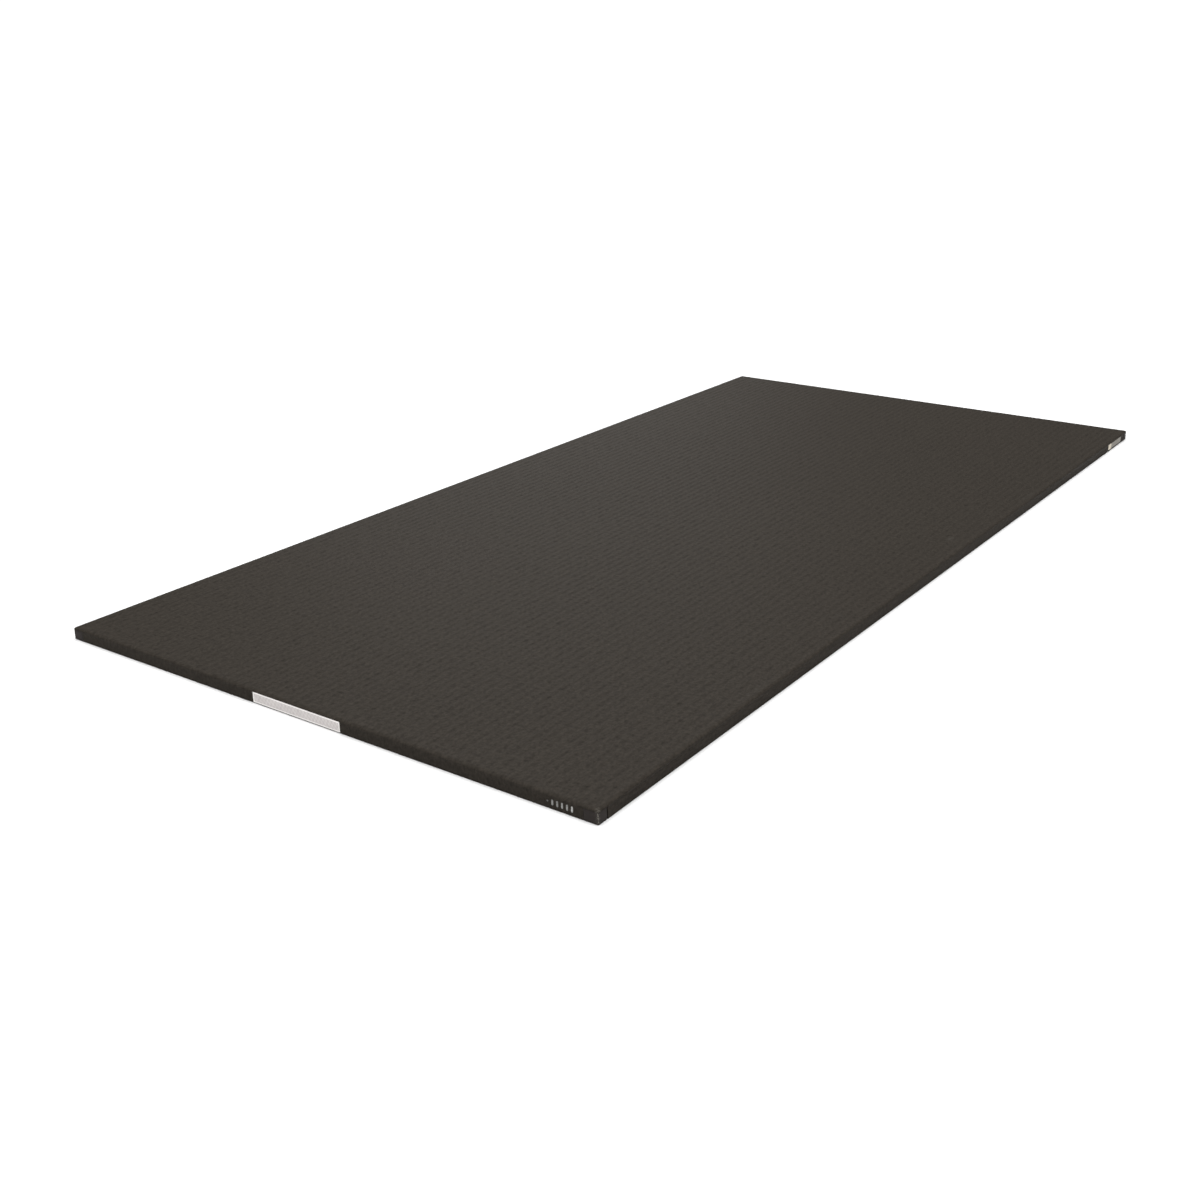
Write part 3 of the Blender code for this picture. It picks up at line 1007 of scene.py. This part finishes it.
def makeMarks(sizes, finish):
    # each mark: an upright bar with cut corners
    points, faces, ink = [], [], []
    half, cut = sizes["width"] / 2, sizes["width"] * 0.3
    bars = zip(sizes["places"], sizes["inkLeft"], sizes["bottoms"], sizes["tops"])
    for middle, left, bottom, top in bars:
        low, high = bottom * mm, top * mm
        outline = [(half, low + cut), (half, high - cut), (half - cut, high), (cut - half, high),
                   (-half, high - cut), (-half, low + cut), (cut - half, low), (half - cut, low)]
        first = len(points)
        for depth in (-sizes["proud"], sizes["thickness"] - sizes["proud"]):
            points += [(coverLow.x + depth, middle + across, up) for across, up in outline]
        count = len(outline)
        faces.append(tuple(first + i for i in reversed(range(count))))
        faces.append(tuple(first + count + i for i in range(count)))
        for i in range(count):
            k = (i + 1) % count
            faces.append((first + i, first + k, first + count + k, first + count + i))
        ink += [left] * (2 * count)
    marks = newPiece("endMarks", points, faces, finish)
    keepValue(marks, "inkLeft", "FLOAT", ink)
    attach(marks, "root")
    return marks


makeMarks(markSizes, makeMarkInk(markSizes))
print("end marks stamped")


# Foam slab, reinforcing cloth and waffle base inside and under the cover

insideSizes = {
    "foamStep": 24 * mm,
    "foamEdge": 2.0 * mm,
    "foamRoughness": 0.18 * mm,
    "clothStep": 40 * mm,
    "clothThickness": 0.45 * mm,
    "clothEdge": 2.2 * mm,
    "threadPitch": 0.9 * mm,
}

waffleSizes = {
    "Cells Along": ("NodeSocketInt", 139),
    "Cells Across": ("NodeSocketInt", 69),
    "Border": ("NodeSocketFloat", 28.0 * mm),
    "Lug Height": ("NodeSocketFloat", 1.5 * mm),
    "Lug Foot": ("NodeSocketFloat", 0.78),
    "Lug Tip": ("NodeSocketFloat", 0.84),
}


def roundedSlab(name, low, high, radius, step, finish, openBelow=False):
    # a slab with rounded edges, cut in squares
    def lines(first, last):
        count = max(1, round((last - first - 2 * radius) / step))
        middle = [first + radius + (last - first - 2 * radius) * i / count for i in range(count + 1)]
        return [first, first + radius * 0.5, *middle, last - radius * 0.5, last]

    xs, ys, zs = (lines(a, b) for a, b in zip(low, high))
    points, index, faces = [], {}, []

    def corner(i, j, k):
        if (i, j, k) not in index:
            place = Vector((xs[i], ys[j], zs[k]))
            core = Vector([min(max(p, a + radius), b - radius) for p, a, b in zip(place, low, high)])
            away = place - core
            index[i, j, k] = len(points)
            points.append(core + away.normalized() * radius if away.length > 1e-9 else place)
        return index[i, j, k]

    def addFace(*places):
        faces.append([corner(*place) for place in places])

    nx, ny, nz = len(xs) - 1, len(ys) - 1, len(zs) - 1
    for i in range(nx):
        for j in range(ny):
            addFace((i, j, nz), (i + 1, j, nz), (i + 1, j + 1, nz), (i, j + 1, nz))
            if not openBelow:
                addFace((i, j, 0), (i, j + 1, 0), (i + 1, j + 1, 0), (i + 1, j, 0))
    lowest = 1 if openBelow else 0
    for k in range(lowest, nz):
        for i in range(nx):
            addFace((i, 0, k), (i + 1, 0, k), (i + 1, 0, k + 1), (i, 0, k + 1))
            addFace((i, ny, k), (i, ny, k + 1), (i + 1, ny, k + 1), (i + 1, ny, k))
        for j in range(ny):
            addFace((0, j, k), (0, j, k + 1), (0, j + 1, k + 1), (0, j + 1, k))
            addFace((nx, j, k), (nx, j + 1, k), (nx, j + 1, k + 1), (nx, j, k + 1))
    return newPiece(name, points, faces, finish)


def makeFoamCrumb():
    # rebonded foam: pressed crumbs of mixed colours
    finish, tree, shader = newFinish("foamCrumb", (0.20, 0.22, 0.26), 0.9, 0.2)
    place = objectPlace(tree)
    crumbs = addNode(tree, "ShaderNodeTexVoronoi", {"Vector": place, "Scale": 140})
    apart = addNode(tree, "ShaderNodeSeparateXYZ", {0: crumbs.outputs["Color"]}).outputs
    color = mixColors(tree, apart[0], (0.10, 0.13, 0.20, 1), (0.34, 0.36, 0.38, 1))
    warm = calculate(tree, "GREATER_THAN", apart[1], 0.8)
    color = mixColors(tree, warm, color, (0.46, 0.40, 0.24, 1))
    pores = cloud(tree, place, 1500, 2.0)
    color = shadeColor(tree, color, remap(tree, pores, 0.3, 0.7, 0.6, 1.1))
    tree.links.new(color, shader.inputs["Base Color"])
    bumpInto(tree, shader, crumbs.outputs["Distance"], 0.5 * mm)
    bumpInto(tree, shader, pores, 0.2 * mm)
    return finish


def makeClothWeave():
    finish, tree, shader = newFinish("clothWeave", (0.55, 0.55, 0.53), 0.85, 0.2)
    place = objectPlace(tree)
    apart = addNode(tree, "ShaderNodeSeparateXYZ", {0: place}).outputs
    turns = 2 * math.pi / insideSizes["threadPitch"]
    warp = calculate(tree, "SINE", calculate(tree, "MULTIPLY", apart[0], turns))
    weft = calculate(tree, "SINE", calculate(tree, "MULTIPLY", apart[1], turns))
    weave = calculate(tree, "MULTIPLY_ADD", calculate(tree, "MULTIPLY", warp, weft), 0.5, 0.5)
    color = mixColors(tree, weave, (0.40, 0.40, 0.38, 1), (0.60, 0.60, 0.57, 1))
    color = shadeColor(tree, color, remap(tree, cloud(tree, place, 25, 3.0), 0.3, 0.7, 0.88, 1.06))
    tree.links.new(color, shader.inputs["Base Color"])
    bumpInto(tree, shader, weave, 0.15 * mm)
    return finish


def makeWaffleRubber():
    finish, tree, shader = newFinish("waffleRubber", (0.021, 0.021, 0.022), 0.72, 0.35)
    place = objectPlace(tree)
    dust = cloud(tree, place, 45, 4.0, 0.65)
    dusty = remap(tree, dust, 0.42, 0.75, 0.0, 1.0)
    color = mixColors(tree, dusty, (0.019, 0.019, 0.020, 1), (0.052, 0.050, 0.046, 1))
    tree.links.new(color, shader.inputs["Base Color"])
    tree.links.new(remap(tree, dust, 0.3, 0.7, 0.62, 0.82), shader.inputs["Roughness"])
    bumpInto(tree, shader, cloud(tree, place, 700, 3.0), 0.08 * mm)
    return finish


def roughenFoam(slab, sizes):
    # the sawn faces are slightly rough, always inwards
    nearSide = 5 * mm
    for vertex in slab.data.vertices:
        place = vertex.co
        depth = sizes["foamRoughness"] * abs(noise.noise(place * 60))
        inwards = Vector((0, 0, 1 if place.z < (foamLow.z + foamHigh.z) / 2 else -1))
        if foamHigh.x - abs(place.x) < nearSide:
            inwards = Vector((-math.copysign(1, place.x), 0, 0))
        elif foamHigh.y - abs(place.y) < nearSide:
            inwards = Vector((0, -math.copysign(1, place.y), 0))
        vertex.co = place + inwards * depth


foamLow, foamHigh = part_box("foam_core")
foamSlab = roundedSlab("foamSlab", foamLow, foamHigh, insideSizes["foamEdge"],
                       insideSizes["foamStep"], makeFoamCrumb())
roughenFoam(foamSlab, insideSizes)
smoothPiece(foamSlab, 40)
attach(foamSlab, "root")
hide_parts("foam_core")
print("foam slab cut")

clothLow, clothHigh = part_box("reinforcing_cloth")
reinforcingCloth = roundedSlab("reinforcingCloth", clothLow, clothHigh, insideSizes["clothEdge"],
                               insideSizes["clothStep"], makeClothWeave(), openBelow=True)
wall = reinforcingCloth.modifiers.new("clothThickness", "SOLIDIFY")
wall.thickness = insideSizes["clothThickness"]
wall.offset = -1
keepModifiers(reinforcingCloth)
smoothPiece(reinforcingCloth, 40)
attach(reinforcingCloth, "root")
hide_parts("reinforcing_cloth")
print("cloth laid")


def makeWaffleTree(finish, low, high, sheetBottom):
    # a sheet whose underside is cut in cells, with a lug pressed down from every cell inside the hem
    tree, sizes, groupEnd = newGeometryTree("waffleLugs", waffleSizes)
    width, depth, thick = high.x - low.x, high.y - low.y, high.z - sheetBottom
    inputs = {"Size": (width, depth, thick), "Vertices Z": 2,
              "Vertices X": calculate(tree, "ADD", sizes["Cells Along"], 1.0),
              "Vertices Y": calculate(tree, "ADD", sizes["Cells Across"], 1.0)}
    block = addNode(tree, "GeometryNodeMeshCube", inputs).outputs["Mesh"]
    lift = {"Geometry": block, "Translation": (0, 0, sheetBottom + thick / 2)}
    sheet = addNode(tree, "GeometryNodeTransform", lift).outputs[0]
    normal = addNode(tree, "GeometryNodeInputNormal").outputs[0]
    upwards = addNode(tree, "ShaderNodeSeparateXYZ", {0: normal}).outputs[2]
    position = addNode(tree, "GeometryNodeInputPosition").outputs[0]
    place = addNode(tree, "ShaderNodeSeparateXYZ", {0: position}).outputs
    inField = calculate(tree, "LESS_THAN", upwards, -0.9)
    for axis, half in ((0, width / 2), (1, depth / 2)):
        reach = calculate(tree, "SUBTRACT", half, sizes["Border"])
        inside = calculate(tree, "LESS_THAN", calculate(tree, "ABSOLUTE", place[axis]), reach)
        inField = calculate(tree, "MULTIPLY", inField, inside)

    def pressDown(mesh, chosen, height, share):
        # extrudes every chosen face by itself and shrinks its end
        inputs = {"Mesh": mesh, "Selection": chosen, "Offset Scale": height, "Individual": True}
        pressed = addNode(tree, "GeometryNodeExtrudeMesh", inputs, mode="FACES").outputs
        inputs = {"Geometry": pressed["Mesh"], "Selection": pressed["Top"], "Scale": share}
        shrunk = addNode(tree, "GeometryNodeScaleElements", inputs, domain="FACE").outputs[0]
        return shrunk, pressed["Top"]

    footed, feet = pressDown(sheet, inField, 0.0, sizes["Lug Foot"])
    lugged, _ = pressDown(footed, feet, sizes["Lug Height"], sizes["Lug Tip"])
    finishGeometryTree(tree, lugged, finish, groupEnd)
    return tree


baseLow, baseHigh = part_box("antislip_base")
waffleRubber = makeWaffleRubber()
antislipBase = newPiece("antislipBase", [(0, 0, 0)], [])
waffleTree = makeWaffleTree(waffleRubber, baseLow, baseHigh, waffleSizes["Lug Height"][1])
runGeometryTree(antislipBase, waffleTree, waffleSizes)
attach(antislipBase, "root")
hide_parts("antislip_base")
print("waffle base laid:", len(antislipBase.data.polygons), "faces")


# Floor, light and world

studio = {
    "floorTone": (0.80, 0.80, 0.80),
    "floorSize": 120,
    "skyLow": 0.03,  # brightness of the sky at the horizon and overhead
    "skyHigh": 0.90,
    "skySeen": 1.1,
    "overheadLight": 2.72,
    "overheadSoftness": 60,  # degrees
    "overheadFrom": (-0.06, -0.07, 1.0),
    # soft boxes: place, aimed at, width, depth, power in watts
    "softBoxes": (((4.05, 3.7, 1.8), (0.1, 0.3, 0.0), 2.8, 1.3, 44.0),),
}


def makeStudio(values):
    half = values["floorSize"] / 2
    level = coverLow.z - 0.2 * mm
    outline = [(-half, -half, level), (half, -half, level), (half, half, level), (-half, half, level)]
    floorPaint, tree, shader = newFinish("floorPaint", values["floorTone"], 0.9, 0.1)
    worn = cloud(tree, objectPlace(tree), 3.0)
    shade = remap(tree, worn, 0.3, 0.7, 0.99, 1.0)
    tone = addNode(tree, "ShaderNodeRGB")
    tone.outputs[0].default_value = (*values["floorTone"], 1)
    tree.links.new(shadeColor(tree, tone.outputs[0], shade), shader.inputs["Base Color"])
    floor = newPiece("studioFloor", outline, [(0, 1, 2, 3)], floorPaint)
    # the sky is seen as plain white, and lights the mat more gently
    world = bpy.data.worlds.new("studioSky")
    world.use_nodes = True
    sky = world.node_tree
    lit = sky.nodes["Background"]
    lit.inputs["Color"].default_value = (1, 1, 1, 1)
    skyward = addNode(sky, "ShaderNodeTexCoord").outputs["Generated"]
    upwards = addNode(sky, "ShaderNodeSeparateXYZ", {0: skyward})
    rise = remap(sky, upwards.outputs[2], 0.12, 0.8, values["skyLow"], values["skyHigh"])
    sky.links.new(rise, lit.inputs["Strength"])
    seen = addNode(sky, "ShaderNodeBackground", {"Color": (1, 1, 1, 1), "Strength": values["skySeen"]})
    straight = addNode(sky, "ShaderNodeLightPath").outputs["Is Camera Ray"]
    both = addNode(sky, "ShaderNodeMixShader", {0: straight, 1: lit.outputs[0], 2: seen.outputs[0]})
    sky.links.new(both.outputs[0], sky.nodes["World Output"].inputs["Surface"])
    scene.world = world
    light = bpy.data.lights.new("overheadLight", "SUN")
    light.energy = values["overheadLight"]
    light.angle = math.radians(values["overheadSoftness"])
    lamp = bpy.data.objects.new("overheadLight", light)
    scene.collection.objects.link(lamp)
    lamp.matrix_world = Vector(values["overheadFrom"]).to_track_quat("Z", "Y").to_matrix().to_4x4()
    for number, (place, target, width, depth, power) in enumerate(values["softBoxes"]):
        light = bpy.data.lights.new(f"softBox{number}", "AREA")
        light.shape = "RECTANGLE"
        light.size, light.size_y = width, depth
        light.energy = power
        lamp = bpy.data.objects.new(light.name, light)
        scene.collection.objects.link(lamp)
        lamp.visible_camera = False
        aim = (Vector(target) - Vector(place)).to_track_quat("-Z", "Y")
        lamp.matrix_world = Matrix.Translation(place) @ aim.to_matrix().to_4x4()


makeStudio(studio)
print("studio lit")
